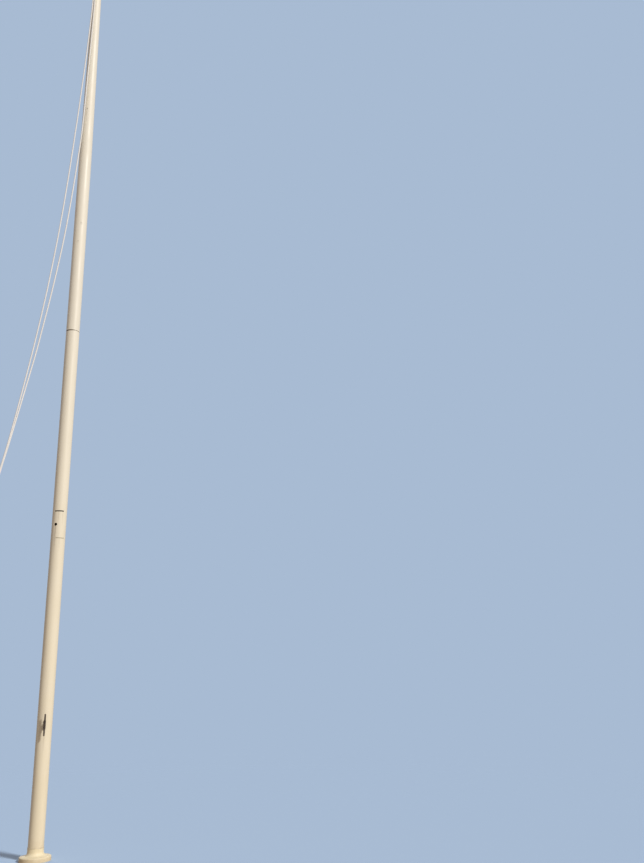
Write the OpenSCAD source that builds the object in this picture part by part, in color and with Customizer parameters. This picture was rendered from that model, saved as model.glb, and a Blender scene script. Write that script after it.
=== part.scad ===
// Ground-set tapered flagpole with a ball finial, a rope cleat and its halyard.
// Millimetres, +Z up. The origin is on the pole's axis at ground level.
// The cleat faces -Y, and angles round the pole are measured from there, plus towards +X.

/* [Pole] */
// Height of the pole's top rim above the ground
pole_height = 12192; // [11900:1:12500]
// Outside diameter of the straight lower length
butt_d = 152.4; // [146:0.1:158]
// Outside diameter of the top rim
top_d = 88.9; // [84:0.1:94]
// Wall of the pole tube
wall = 4.8; // [3:0.1:7]
// Height over which the taper loses 1 mm of diameter
taper_run = 66; // [60:1:80]

/* [Splice] */
// Height of the joint between the two sections
joint_height = 5640; // [4500:1:7000]
// Open gap between the two sections
joint_gap = 3; // [0.5:0.1:4]
// Reach of the inner sleeve into each section
sleeve_reach = 460; // [300:1:600]
// Wall of the inner sleeve
sleeve_wall = 6.4; // [4:0.1:9]

/* [Holes and scars] */
// Height of the cable hole
cable_hole_z = 3330; // [3250:1:3400]
// Diameter of the cable hole
cable_hole_d = 32; // [16:0.5:36]
// Angle of the cable hole round the pole
cable_hole_turn = -27; // [-60:1:60]
// Height of the saw slot above the cable hole
slot_z = 3478; // [3440:1:3600]
// Width of the saw slot
slot_w = 12; // [4:0.5:14]
// Angle round the pole that the straight saw slot crosses
slot_sweep = 82; // [50:1:100]
// Angle of the middle of the saw slot
slot_turn = -6; // [-30:1:30]
// Height of the strap groove below the cable hole
groove_z = 3180; // [3000:1:3220]
// Width of the strap groove
groove_w = 10; // [4:0.5:14]
// Depth of the strap groove
groove_depth = 1.6; // [0.8:0.1:2.4]
// Angle that the strap groove takes round the pole
groove_sweep = 72; // [40:1:100]
// Angle of the middle of the strap groove
groove_turn = 16; // [-30:1:30]
// Height of the small hole in the upper section
small_hole_z = 8744; // [8000:1:10000]
// Diameter of the small hole in the upper section
small_hole_d = 13; // [6:0.5:20]
// Angle of the small hole round the pole
small_hole_turn = -18; // [-60:1:60]

/* [Ground collar] */
// Outside diameter of the collar
collar_d = 306; // [290:1:340]
// Height of the collar's drum at its rim
collar_rim_h = 42; // [36:1:56]
// Height of the collar at its neck
collar_h = 116; // [110:1:140]
// Sheet thickness of the collar
collar_sheet = 2.5; // [1.5:0.1:4]
// Radius of the rounded rim
collar_rim_round = 9; // [6:0.5:14]
// Slope of the collar's top in degrees
collar_slope = 9; // [4:1:14]
// Radius of the concave flare below the neck
collar_flare = 36; // [25:1:45]
// Radius of the sealant bead on the neck
bead_r = 4.5; // [3:0.5:8]

/* [Cleat] */
// Height of the middle of the cleat
cleat_z = 1262; // [1000:1:1500]
// Length of the cleat from tip to tip
cleat_length = 215; // [190:1:240]
// Distance from the pole to the centre line of the horns
cleat_stand = 48; // [44:0.5:56]
// Radius of a horn at its root
horn_root_r = 9; // [8:0.1:10.5]
// Radius of a horn's rounded tip
horn_tip_r = 7.5; // [6:0.1:8]
// Angle at which a horn leans away from the pole
horn_lean = 4; // [0:0.5:7]
// Length of the cleat's foot
foot_length = 96; // [92:1:112]
// Width of the cleat's foot
foot_width = 22; // [20:0.5:28]
// Thickness of the cleat's foot
foot_thick = 10; // [8:0.5:12]
// Length of the cleat's neck at its waist
neck_length = 34; // [28:0.5:38]
// Width of the cleat's neck
neck_width = 15; // [12:0.5:15.5]
// Distance between the two screws
screw_pitch = 70; // [68:0.5:76]
// Shank diameter of the screws
screw_d = 6.4; // [5:0.1:7.4]
// Height of the domed head of a screw
screw_head_h = 3.8; // [3:0.1:4.5]
// Length of a screw's shank behind its head
screw_length = 19; // [17:0.5:30]

/* [Truck] */
// Angle at which the truck's arm points
truck_turn = -20; // [-90:1:90]
// Overhang of the cap beyond the pole's rim
cap_overhang = 4; // [2:0.5:5]
// Thickness of the cap's rim
cap_rim_h = 10; // [8:0.5:14]
// Radius of the hollow flare between the rim and the boss
cap_flare = 22; // [16:0.5:26]
// Height of the cap's boss above the rim of the pole
cap_boss_h = 44; // [42:0.5:60]
// Diameter of the cap's boss
cap_boss_d = 40; // [34:0.5:46]
// Depth of the spigot in the pole
spigot_length = 75; // [60:1:100]
// Diameter of the set screws that hold the spigot
set_screw_d = 8; // [6:0.5:10]
// Depth of a set screw in the spigot
set_screw_reach = 10; // [6:0.5:14]
// Distance from the pole's axis to the sheave pin
sheave_reach = 98; // [96:0.5:112]
// Height of the sheave pin above the pole's rim
sheave_rise = 24; // [22:0.5:30]
// Thickness of each cheek
cheek = 7; // [5:0.5:9]
// Radius of the cheeks round the pin
cheek_r = 18; // [15:0.5:21]
// Clearance behind the sheave in the arm's slot
slot_clear = 5; // [3:0.5:7]
// Depth of the dip in the arm's top edge
arm_dip = 8; // [4:0.5:12]

/* [Sheave] */
// Radius from the pin to the centre of the rope
sheave_pitch_r = 32; // [30:0.5:36]
// Width of the sheave
sheave_w = 20; // [19.5:0.5:24]
// Height of the sheave's flange above the centre of the rope
sheave_flange = 4; // [2:0.5:5]
// Edge that the groove leaves on each flange
sheave_edge = 0.8; // [0.5:0.1:1.5]
// Wall of the sheave's hub
hub_wall = 6; // [4:0.5:8]
// Width of the ring-shaped recess in each face
recess_w = 9; // [5:0.5:10]
// Depth of the ring-shaped recess
recess_depth = 2.5; // [1:0.5:4]
// Diameter of the sheave pin
pin_d = 10; // [8:0.5:12]
// Diameter of the pin's head
pin_head_d = 17; // [15:0.5:20]
// Thickness of the pin's head
pin_head_h = 5; // [3:0.5:7]
// Length of the pin beyond the far cheek
pin_tail = 9; // [8:0.5:12]
// Wire diameter of the cotter
cotter_d = 2.6; // [2:0.1:3.2]
// Length of the cotter's legs beyond the pin
cotter_proud = 5; // [3:0.5:8]
// Radius of the cotter's eye
cotter_eye_r = 3.6; // [3:0.1:5]

/* [Finial] */
// Diameter of the ball
ball_d = 203.2; // [180:0.1:230]
// Sheet thickness of the ball
ball_sheet = 2; // [1.2:0.1:3]
// Diameter of the finial rod
rod_d = 12.7; // [10:0.1:16]
// Depth of the rod in the truck's boss
rod_depth = 33; // [26:1:38]
// Reach of the rod above the socket
rod_rise = 12; // [8:1:30]
// Height of the ball's socket
socket_h = 26; // [22:0.5:40]
// Wall of the socket round the rod
socket_wall = 8; // [6:0.5:10]
// Width that the socket's cup gains on its stem
cup_flare = 14; // [8:0.5:18]
// Height of the ball's lapped seam
seam_h = 4; // [2:0.5:8]
// Thickness of the ball's lapped seam
seam_proud = 0.8; // [0.4:0.1:1.5]
// Thickness of the locknut
nut_h = 9; // [7:0.5:12]
// Distance across the flats of the locknut
nut_flats = 20; // [20:0.5:26]

/* [Halyard] */
// Diameter of the rope
rope_d = 16; // [12:0.5:16]
// Radius of the rope's eye round the swivel
eye_r = 15; // [14:0.5:20]
// Length of the whipping below a fall
whip_length = 36; // [30:1:40]
// Thickness of the whipping's twine
twine_d = 1.2; // [0.6:0.1:2]

/* [Snap hooks] */
// Radius of the swivel's ring
ring_r = 12; // [11.5:0.5:14]
// Rod radius of the swivel's ring
ring_rod_r = 3; // [2.5:0.1:3.5]
// Radius of the swivel's stem
stem_r = 4; // [3:0.1:4.6]
// Radius of the head that holds the stem in the body
stem_head_r = 5.6; // [5:0.1:6.4]
// Thickness of that head
stem_head_h = 3; // [2:0.1:3.5]
// Depth of the stem in the body
stem_depth = 9; // [7:0.5:11]
// Radius of the snap's body
body_r = 8; // [8:0.1:10]
// Height of the snap's body
body_h = 14; // [13:0.5:18]
// Radius of the hook's bend
hook_r = 10.5; // [9.5:0.5:12]
// Rod radius of the hook
hook_rod_r = 3.6; // [3:0.1:4.2]
// Straight length of the hook's back
hook_back = 20; // [18:0.5:24]
// Length of the hook's point above the bend
point_h = 5; // [3:0.5:7]
// Radius of the sliding bolt
bolt_r = 2.4; // [2:0.1:2.8]
// Radius of the barrel that the bolt slides in
barrel_r = 4.4; // [4.2:0.1:5]
// Length of the barrel
barrel_h = 21; // [18:0.5:23]
// Travel of the bolt up the barrel
bolt_travel = 9; // [7:0.5:10]
// Radius of the button that moves the bolt
button_r = 2.8; // [2:0.1:3.5]

/* [Hidden] */
$fn = 64;

// Clearance between pieces that fit into or round each other
fit = 0.3;
// Overlap of one cut or join past another
over = 1;

butt_r = butt_d / 2;
top_r = top_d / 2;
taper_start = pole_height - (butt_d - top_d) * taper_run;
upper_base = joint_height + joint_gap;
sleeve_r = butt_r - wall - fit;

// Radius of the pole's outside at a height
function pole_r_at(z) = z < taper_start ? butt_r : butt_r - (z - taper_start) / taper_run / 2;

neck_r = butt_r + fit + collar_sheet;
collar_r = collar_d / 2;

// Depth of the foot's blank inside the pole's surface, before it is cut to the pole
foot_sink = 3;
// Reach of a throat's circle into the foot and into the horn
throat_run = 3;
// Radius of the cross-wise crown that the two horns grow out of
crown_r = horn_root_r + over;
screw_half = screw_pitch / 2;
screw_seat_r = butt_r + foot_thick + fit;
screw_head_r = screw_d;

cap_r = top_r + cap_overhang;
spigot_r = top_r - wall - fit;
slot_gap = sheave_w / 2 + fit;
fork_half = slot_gap + cheek;
rope_r = rope_d / 2;
sheave_r = sheave_pitch_r + sheave_flange;
pin_z = pole_height + sheave_rise;
slot_back = sheave_reach - sheave_r - slot_clear;
boss_top = pole_height + cap_boss_h;
set_screw_z = pole_height - spigot_length / 2;
set_screws = 3;
pin_end = fork_half + fit;

nut_base = boss_top + fit;
socket_base = nut_base + nut_h + fit;
socket_top = socket_base + socket_h;
socket_r = rod_d / 2 + socket_wall;
cup_r = socket_r + cup_flare;
ball_r = ball_d / 2;
ball_z = socket_top - over + sqrt(ball_r * ball_r - cup_r * cup_r);

// Depths below the end of a fall of the pieces that hang from it
eye_drop = whip_length + fit + eye_r;
ring_drop = eye_drop + eye_r - rope_r + ring_r - ring_rod_r - fit;
body_drop = ring_drop + ring_r + ring_rod_r + fit;

// Heights in a snap hook below the top of its body
shoulder_drop = body_h + hook_r;
bend_drop = shoulder_drop + hook_back;
barrel_bottom = shoulder_drop + body_r / 2 + over;
bolt_end = bend_drop - point_h - fit;
button_drop = barrel_bottom - bolt_r - over;

// Where the two falls leave the sheave
truck_dir = [sin(truck_turn), -cos(truck_turn), 0];
outer_start = truck_dir * (sheave_reach + sheave_pitch_r) + [0, 0, pin_z];
inner_start = truck_dir * (sheave_reach - sheave_pitch_r) + [0, 0, pin_z];

// Route of the outer fall below the sheave
outer_route = concat([outer_start], [
    [-44, -122, 12100], [-44, -122, 11700], [-44, -122, 11200], [-45, -121, 10800], [-48, -120, 10400],
    [-58, -119, 10050], [-71, -118, 9700], [-87, -117, 9350], [-105, -116, 9000], [-123, -115, 8650],
    [-144, -114, 8300], [-165, -113, 7950], [-188, -112, 7600], [-217, -111, 7200], [-249, -110, 6820],
    [-287, -109, 6430], [-328, -109, 6050], [-374, -109, 5680], [-424, -109, 5310], [-477, -110, 4950],
    [-534, -111, 4580], [-596, -112, 4200], [-640, -112, 3960], [-664, -112, 3830]]);

// Route of the inner fall below the sheave
inner_route = concat([inner_start], [
    [-22, -62, 12100], [-21, -63, 11700], [-21, -65, 11200], [-22, -67, 10800], [-25, -69, 10400],
    [-30, -71, 10000], [-38, -73, 9550], [-46, -75, 9150], [-54, -76, 8750], [-68, -77, 8300],
    [-90, -78, 7950], [-115, -79, 7580], [-145, -80, 7200], [-180, -81, 6820], [-226, -82, 6430],
    [-276, -82, 6050], [-330, -83, 5680], [-387, -83, 5310], [-451, -84, 4950], [-518, -85, 4580],
    [-588, -86, 4200], [-636, -86, 3960], [-672, -86, 3770], [-698, -86, 3630]]);

// Turn a piece that faces -Y to an angle round the pole
module turned(angle) {
    rotate([0, 0, angle]) children();
}

// Copies of a piece at the set screws, which stand clear of the truck's arm
module at_set_screws() {
    for (k = [0:set_screws - 1])
        turned(truck_turn + (k + 0.5) * 360 / set_screws) children();
}

// Round bar pointing out of the pole along -Y, from one radius to another
module radial_bar(d, z, from_r, to_r) {
    translate([0, -from_r, z]) rotate([90, 0, 0]) cylinder(d = d, h = to_r - from_r);
}

// Shallow band cut round the outside of the pole
module strap_groove() {
    rotate([0, 0, groove_turn - groove_sweep / 2 - 90]) rotate_extrude(angle = groove_sweep)
        translate([butt_r - groove_depth, groove_z - groove_w / 2]) square([groove_depth + over, groove_w]);
}

// Straight cut across the front of the pole, deepest in its middle
module saw_slot() {
    chord = butt_r * cos(slot_sweep / 2);
    turned(slot_turn) translate([-butt_r, -butt_r - over, slot_z - slot_w / 2])
        cube([butt_d, butt_r + over - chord, slot_w]);
}

module pole_lower_section() {
    color("#ece5cf") difference() {
        cylinder(r = butt_r, h = joint_height);
        translate([0, 0, -over]) cylinder(r = butt_r - wall, h = joint_height + 2 * over);
        turned(cable_hole_turn) radial_bar(cable_hole_d, cable_hole_z, 0, butt_r + over);
        saw_slot();
        strap_groove();
        for (side = [-1, 1])
            radial_bar(screw_d + 2 * fit, cleat_z + side * screw_half, 0, butt_r + over);
    }
}

module pole_upper_section() {
    taper_h = pole_height - taper_start;
    straight_h = taper_start - upper_base;
    color("#ece5cf") difference() {
        union() {
            translate([0, 0, upper_base]) cylinder(r = butt_r, h = straight_h);
            translate([0, 0, taper_start]) cylinder(r1 = butt_r, r2 = top_r, h = taper_h);
        }
        translate([0, 0, upper_base - over]) cylinder(r = butt_r - wall, h = straight_h + over);
        translate([0, 0, taper_start]) cylinder(r1 = butt_r - wall, r2 = top_r - wall, h = taper_h);
        translate([0, 0, pole_height - over]) cylinder(r = top_r - wall, h = 2 * over);
        turned(small_hole_turn) radial_bar(small_hole_d, small_hole_z, 0, butt_r + over);
        at_set_screws() radial_bar(set_screw_d + 2 * fit, set_screw_z, 0, butt_r);
    }
}

module splice_sleeve() {
    color("silver") translate([0, 0, upper_base - joint_gap / 2 - sleeve_reach]) difference() {
        cylinder(r = sleeve_r, h = 2 * sleeve_reach);
        translate([0, 0, -over]) cylinder(r = sleeve_r - sleeve_wall, h = 2 * (sleeve_reach + over));
    }
}

// Half section of the solid under the collar's skin, drawn inset from its outside
module collar_section(inset, height) {
    a = collar_slope;
    rim_c = [collar_r - collar_rim_round, collar_rim_h - collar_rim_round];
    reach = sin(a) * rim_c[0] + cos(a) * rim_c[1] + collar_rim_round;
    flare_x = neck_r + collar_flare;
    flare_c = [flare_x, (reach + collar_flare - sin(a) * flare_x) / cos(a)];
    bend = collar_rim_round - inset;
    hollow = collar_flare + inset;
    crown = rim_c + bend * [sin(a), cos(a)];
    foot = flare_c - hollow * [sin(a), cos(a)];
    polygon([[0, 0], [collar_r - inset, 0], [collar_r - inset, rim_c[1]], crown, foot, [0, foot[1]]]);
    translate(rim_c) circle(r = bend);
    difference() {
        polygon([[0, 0], [foot[0], 0], foot, flare_c, [0, flare_c[1]]]);
        translate(flare_c) circle(r = hollow);
    }
    square([neck_r - inset, height]);
}

module flash_collar() {
    color("#ece4c4") rotate_extrude() difference() {
        collar_section(0, collar_h);
        translate([0, -over]) square([collar_r - collar_sheet, 2 * over]);
        collar_section(collar_sheet, collar_h + over);
    }
}

module collar_sealant() {
    bead_in = butt_r + fit;
    color("#ddd3b4") translate([0, 0, collar_h + fit]) rotate_extrude() intersection() {
        translate([bead_in, 0]) square(bead_r);
        translate([bead_in, 0]) circle(r = bead_r);
    }
}

// Plate with round ends, long way along Y
module stadium(length, width, thick) {
    reach = (length - width) / 2;
    linear_extrude(thick) union() {
        square([width, 2 * reach], center = true);
        for (side = [-1, 1]) translate([0, side * reach]) circle(d = width);
    }
}

// One horn along +Y, from just beyond the middle of the cleat
module horn() {
    bar = cleat_length / 2 - horn_tip_r;
    rotate([horn_lean - 90, 0, 0]) rotate_extrude() {
        polygon([[0, over], [horn_root_r, over], [horn_tip_r, bar], [0, bar]]);
        intersection() {
            translate([0, bar]) circle(r = horn_tip_r);
            translate([0, bar]) square(horn_tip_r);
        }
    }
}

// Web between the foot and the horns, with a round throat cut out of each end
module cleat_neck() {
    gap = cleat_stand - horn_root_r - foot_thick;
    bite_r = gap / 2 + throat_run;
    reach = neck_length / 2 + bite_r;
    rotate([90, 0, 90]) linear_extrude(neck_width, center = true) difference() {
        translate([-reach, 0]) square([2 * reach, foot_sink + cleat_stand]);
        for (side = [-1, 1])
            translate([side * reach, foot_sink + foot_thick + gap / 2]) circle(r = bite_r);
    }
}

module cleat() {
    color("#4c463e") translate([0, 0, cleat_z]) difference() {
        translate([0, foot_sink - butt_r, 0]) rotate([90, 0, 0]) {
            stadium(foot_length, foot_width, foot_sink + foot_thick);
            cleat_neck();
            translate([0, 0, foot_sink + cleat_stand]) {
                translate([-crown_r, 0, 0]) rotate([0, 90, 0]) cylinder(r = crown_r, h = 2 * crown_r);
                horn();
                mirror([0, 1, 0]) horn();
            }
        }
        translate([0, 0, -cleat_length]) cylinder(r = butt_r + fit, h = 2 * cleat_length);
        for (side = [-1, 1])
            radial_bar(screw_d + 2 * fit, side * screw_half, 0, butt_r + foot_thick + over);
    }
}

// Domed screw pointing down from its seat, with a slot in its head
module screw() {
    dome_r = (screw_head_r * screw_head_r + screw_head_h * screw_head_h) / (2 * screw_head_h);
    slot_depth = screw_head_h / 2;
    difference() {
        union() {
            translate([0, 0, -screw_length]) cylinder(d = screw_d, h = screw_length + over);
            rotate_extrude() intersection() {
                translate([0, screw_head_h - dome_r]) circle(r = dome_r);
                square([screw_head_r, screw_head_h]);
            }
        }
        translate([0, 0, screw_head_h]) cube([3 * screw_head_r, screw_d / 5, 2 * slot_depth], center = true);
    }
}

module cleat_screws() {
    color("#6f685c") for (side = [-1, 1])
        translate([0, -screw_seat_r, cleat_z + side * screw_half]) rotate([90, 0, 0]) screw();
}

// Half section of the cap: a rim, a hollow flare and a boss
module cap_section() {
    boss_r = cap_boss_d / 2;
    difference() {
        union() {
            square([cap_r, cap_rim_h]);
            square([boss_r + cap_flare, cap_rim_h + cap_flare]);
        }
        translate([boss_r + cap_flare, cap_rim_h + cap_flare]) circle(r = cap_flare);
        translate([cap_r, -over]) square([cap_flare, 2 * cap_flare + cap_rim_h]);
    }
    square([boss_r, cap_boss_h]);
}

// Side of the arm, from the pole's axis to the cheeks, with a dip in its top edge
module arm_side() {
    arm_top = pin_z + cheek_r;
    dip_half = (slot_back - cap_boss_d / 2) / 2;
    dip_r = (dip_half * dip_half + arm_dip * arm_dip) / (2 * arm_dip);
    translate([-sheave_reach, pin_z]) circle(r = cheek_r);
    difference() {
        polygon([[-sheave_reach, arm_top], [0, arm_top], [0, pole_height], [-cap_r, pole_height],
            [-sheave_reach, pin_z - cheek_r]]);
        translate([dip_half - slot_back, arm_top - arm_dip + dip_r]) circle(r = dip_r);
    }
}

module truck_cap() {
    slot_run = sheave_reach + cheek_r;
    color("#b9b7b0") difference() {
        union() {
            translate([0, 0, pole_height - spigot_length]) cylinder(r = spigot_r, h = spigot_length + over);
            translate([0, 0, pole_height]) rotate_extrude() cap_section();
            turned(truck_turn) translate([-fork_half, 0, 0]) rotate([90, 0, 90])
                linear_extrude(2 * fork_half) arm_side();
        }
        turned(truck_turn) {
            translate([-slot_gap, -slot_back - slot_run, pole_height - cheek_r])
                cube([2 * slot_gap, slot_run, 2 * (cheek_r + sheave_rise)]);
            translate([-fork_half - over, -sheave_reach, pin_z]) rotate([0, 90, 0])
                cylinder(d = pin_d + 2 * fit, h = 2 * (fork_half + over));
        }
        translate([0, 0, boss_top - rod_depth - fit]) cylinder(d = rod_d + 2 * fit, h = rod_depth + fit + over);
        at_set_screws()
            radial_bar(set_screw_d + 2 * fit, set_screw_z, spigot_r - set_screw_reach - fit, butt_r);
    }
}

module truck_set_screws() {
    color("#8d8a82") at_set_screws()
        radial_bar(set_screw_d, set_screw_z, spigot_r - set_screw_reach, pole_r_at(set_screw_z) - fit);
}

module on_pin_axis() {
    turned(truck_turn) translate([0, -sheave_reach, pin_z]) rotate([0, 90, 0]) children();
}

module sheave() {
    half = sheave_w / 2;
    bore_r = pin_d / 2 + fit;
    groove_half = rope_r + fit;
    rim_r = sheave_r + over;
    color("#c8c6bf") on_pin_axis() rotate_extrude() difference() {
        translate([bore_r, -half]) square([sheave_r - bore_r, sheave_w]);
        translate([sheave_pitch_r, 0]) circle(r = groove_half);
        polygon([[sheave_pitch_r, -groove_half], [rim_r, sheave_edge - half], [rim_r, half - sheave_edge],
            [sheave_pitch_r, groove_half]]);
        for (side = [-1, 1])
            translate([pin_d / 2 + hub_wall, side * half - recess_depth]) square([recess_w, 2 * recess_depth]);
    }
}

module sheave_pin() {
    color("#a8a59c") on_pin_axis() difference() {
        union() {
            translate([0, 0, -pin_end]) cylinder(d = pin_d, h = 2 * pin_end + pin_tail);
            translate([0, 0, -pin_end - pin_head_h]) cylinder(d = pin_head_d, h = pin_head_h);
        }
        translate([0, 0, pin_end + pin_tail / 2]) rotate([90, 0, 0])
            cylinder(d = cotter_d + 2 * fit, h = 2 * pin_d, center = true);
    }
}

module sheave_cotter() {
    leg = pin_d / 2 + cotter_proud;
    color("#8f8b80") on_pin_axis() translate([0, 0, pin_end + pin_tail / 2]) {
        rotate([90, 0, 0]) cylinder(d = cotter_d, h = 2 * leg, center = true);
        translate([0, leg + cotter_eye_r, 0]) rotate([0, 90, 0]) rotate_extrude()
            translate([cotter_eye_r, 0]) circle(d = cotter_d);
    }
}

module finial_rod() {
    color("#a8a59c") translate([0, 0, boss_top - rod_depth])
        cylinder(d = rod_d, h = socket_top + rod_rise - boss_top + rod_depth);
}

module finial_locknut() {
    color("#a8a59c") translate([0, 0, nut_base]) difference() {
        cylinder(r = nut_flats / sqrt(3), h = nut_h, $fn = 6);
        translate([0, 0, -over]) cylinder(d = rod_d + 2 * fit, h = nut_h + 2 * over);
    }
}

module ball_socket() {
    cup_h = cup_flare / 2;
    color("#c9a24a") difference() {
        translate([0, 0, socket_base]) union() {
            cylinder(r = socket_r, h = socket_h);
            translate([0, 0, socket_h - cup_h]) cylinder(r1 = socket_r, r2 = cup_r, h = cup_h);
        }
        translate([0, 0, ball_z]) sphere(r = ball_r + fit);
        translate([0, 0, socket_base - over]) cylinder(d = rod_d + 2 * fit, h = socket_h + 2 * over);
    }
}

module ball_finial() {
    color("#c9a24a") translate([0, 0, ball_z]) difference() {
        union() {
            sphere(r = ball_r);
            translate([0, 0, -seam_h / 2]) cylinder(r = ball_r + seam_proud, h = seam_h);
        }
        sphere(r = ball_r - ball_sheet);
        translate([0, 0, -ball_r - over]) cylinder(d = rod_d + 2 * fit, h = ball_r);
    }
}

function unit(v) = v / norm(v);

// Tube swept along a route that runs mostly downwards
module rope_tube(route) {
    sides = 10;
    count = len(route);
    rings = [for (i = [0:count - 1], k = [0:sides - 1])
        let (along = unit(route[min(i + 1, count - 1)] - route[max(i - 1, 0)]),
            across = unit(cross([0, 1, 0], along)),
            turn = k * 360 / sides)
        route[i] + rope_r * (cos(turn) * across + sin(turn) * cross(along, across))];
    walls = [for (i = [0:count - 2], k = [0:sides - 1])
        let (n = (k + 1) % sides)
        [i * sides + k, i * sides + n, (i + 1) * sides + n, (i + 1) * sides + k]];
    ends = [[for (k = [sides - 1:-1:0]) k], [for (k = [0:sides - 1]) (count - 1) * sides + k]];
    polyhedron(points = rings, faces = concat(walls, ends), convexity = 4);
}

module halyard_over_sheave() {
    color("#f2f1ec") on_pin_axis() rotate([0, 0, 90]) rotate_extrude(angle = 180)
        translate([sheave_pitch_r, 0]) circle(r = rope_r);
}

module halyard_outer_fall() {
    color("#f2f1ec") rope_tube(outer_route);
}

module halyard_inner_fall() {
    color("#f2f1ec") rope_tube(inner_route);
}

// Put a piece at the end of a fall, hanging on along its last stretch
module at_end(route) {
    last = route[len(route) - 1];
    run = last - route[len(route) - 2];
    lean = atan2(-run[0], -run[2]);
    translate(last) rotate([0, lean, 0]) children();
}

module whipping(route) {
    color("#e4e2da") at_end(route) translate([0, 0, -whip_length]) cylinder(r = rope_r + twine_d, h = whip_length);
}

// Loop of rope with its top cut off flush with the whipping
module rope_eye(route) {
    color("#f2f1ec") at_end(route) translate([0, 0, -eye_drop]) rotate([90, 0, 0]) difference() {
        rotate_extrude() translate([eye_r, 0]) circle(r = rope_r);
        translate([-2 * eye_r, eye_r, -eye_r]) cube([4 * eye_r, 2 * eye_r, 2 * eye_r]);
    }
}

// Ring through the rope's eye, on a stem whose head is held in the snap's body
module swivel(route) {
    stem_h = ring_rod_r + fit + stem_depth;
    color("#a98a4e") at_end(route) translate([0, 0, -ring_drop]) {
        rotate([90, 0, 90]) rotate_extrude() translate([ring_r, 0]) circle(r = ring_rod_r);
        translate([0, 0, -ring_r - stem_h]) cylinder(r = stem_r, h = stem_h);
        translate([0, 0, -ring_r - stem_h]) cylinder(r = stem_head_r, h = stem_head_h);
    }
}

// Put a piece into a snap hook, below the top of its body
module in_snap(route) {
    at_end(route) translate([0, 0, -body_drop]) children();
}

// Bent rod of the hook: an arc in the XZ plane between two angles, measured from +X towards +Z
module hook_arc(drop, from, sweep) {
    translate([0, 0, -drop]) rotate([90, 0, 0]) rotate([0, 0, from]) rotate_extrude(angle = sweep)
        translate([hook_r, 0]) circle(r = hook_rod_r);
}

module snap(route) {
    edge = body_r / 4;
    color("#a98a4e") in_snap(route) difference() {
        union() {
            rotate_extrude() polygon([[0, 0], [body_r - edge, 0], [body_r, -edge], [body_r, edge - body_h],
                [body_r - edge, -body_h], [0, -body_h]]);
            hook_arc(shoulder_drop, 0, 180);
            translate([-hook_r, 0, -bend_drop]) cylinder(r = hook_rod_r, h = hook_back);
            hook_arc(bend_drop, 180, 180);
            translate([hook_r, 0, -bend_drop]) cylinder(r = hook_rod_r, h = point_h);
            translate([hook_r, 0, -barrel_bottom]) cylinder(r = barrel_r, h = barrel_h);
        }
        translate([0, 0, -stem_depth - fit]) cylinder(r = stem_head_r + fit, h = stem_head_h + 2 * fit);
        translate([0, 0, -stem_depth]) cylinder(r = stem_r + fit, h = stem_depth + over);
        translate([hook_r, 0, -barrel_bottom - over]) cylinder(r = bolt_r + fit, h = barrel_h);
        translate([hook_r, -bolt_r / 2 - fit, -button_drop - bolt_r / 2 - fit])
            cube([2 * barrel_r, bolt_r + 2 * fit, bolt_travel + bolt_r + 2 * fit]);
    }
}

// Sliding bolt that closes the hook, with the button that moves it
module gate(route) {
    button_stem = barrel_r + over;
    color("#b79a5c") in_snap(route) {
        translate([hook_r, 0, -bolt_end]) cylinder(r = bolt_r, h = bolt_end - button_drop + 2 * bolt_r);
        translate([hook_r, 0, -button_drop]) rotate([0, 90, 0]) {
            cylinder(r = bolt_r / 2, h = button_stem);
            translate([0, 0, button_stem]) cylinder(r = button_r, h = twine_d);
        }
    }
}

module outer_whipping() { whipping(outer_route); }
module inner_whipping() { whipping(inner_route); }
module outer_eye() { rope_eye(outer_route); }
module inner_eye() { rope_eye(inner_route); }
module outer_swivel() { swivel(outer_route); }
module inner_swivel() { swivel(inner_route); }
module outer_snap() { snap(outer_route); }
module inner_snap() { snap(inner_route); }
module outer_gate() { gate(outer_route); }
module inner_gate() { gate(inner_route); }

pole_lower_section();
pole_upper_section();
splice_sleeve();
flash_collar();
collar_sealant();
cleat();
cleat_screws();
truck_cap();
truck_set_screws();
sheave();
sheave_pin();
sheave_cotter();
finial_rod();
finial_locknut();
ball_socket();
ball_finial();
halyard_over_sheave();
halyard_outer_fall();
halyard_inner_fall();
outer_whipping();
inner_whipping();
outer_eye();
inner_eye();
outer_swivel();
inner_swivel();
outer_snap();
inner_snap();
outer_gate();
inner_gate();
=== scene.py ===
import math

import bmesh
import bpy
from mathutils import Matrix, Vector, noise


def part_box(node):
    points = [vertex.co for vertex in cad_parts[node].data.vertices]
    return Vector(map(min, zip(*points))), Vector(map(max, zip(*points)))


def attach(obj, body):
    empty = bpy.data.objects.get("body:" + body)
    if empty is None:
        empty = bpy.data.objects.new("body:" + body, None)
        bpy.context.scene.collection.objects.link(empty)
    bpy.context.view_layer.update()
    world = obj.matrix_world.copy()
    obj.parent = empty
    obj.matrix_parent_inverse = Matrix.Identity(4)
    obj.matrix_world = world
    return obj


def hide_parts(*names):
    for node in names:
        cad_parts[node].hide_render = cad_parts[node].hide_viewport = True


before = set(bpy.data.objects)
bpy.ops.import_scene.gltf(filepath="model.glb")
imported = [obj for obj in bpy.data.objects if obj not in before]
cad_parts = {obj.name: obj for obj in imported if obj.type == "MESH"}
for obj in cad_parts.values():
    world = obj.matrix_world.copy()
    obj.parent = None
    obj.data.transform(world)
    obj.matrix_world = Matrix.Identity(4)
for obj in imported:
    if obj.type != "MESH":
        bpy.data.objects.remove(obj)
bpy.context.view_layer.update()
print("frame loaded:", len(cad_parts), "CAD nodes")


# Objects and meshes

sewGap = 2e-5  # metres: corners of a CAD mesh that lie closer than this are one corner


def addObject(name, data):
    made = bpy.data.objects.new(name, data)
    bpy.context.scene.collection.objects.link(made)
    return made


def meshObject(name, shape):
    mesh = bpy.data.meshes.new(name)
    shape.to_mesh(mesh)
    shape.free()
    return addObject(name, mesh)


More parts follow.
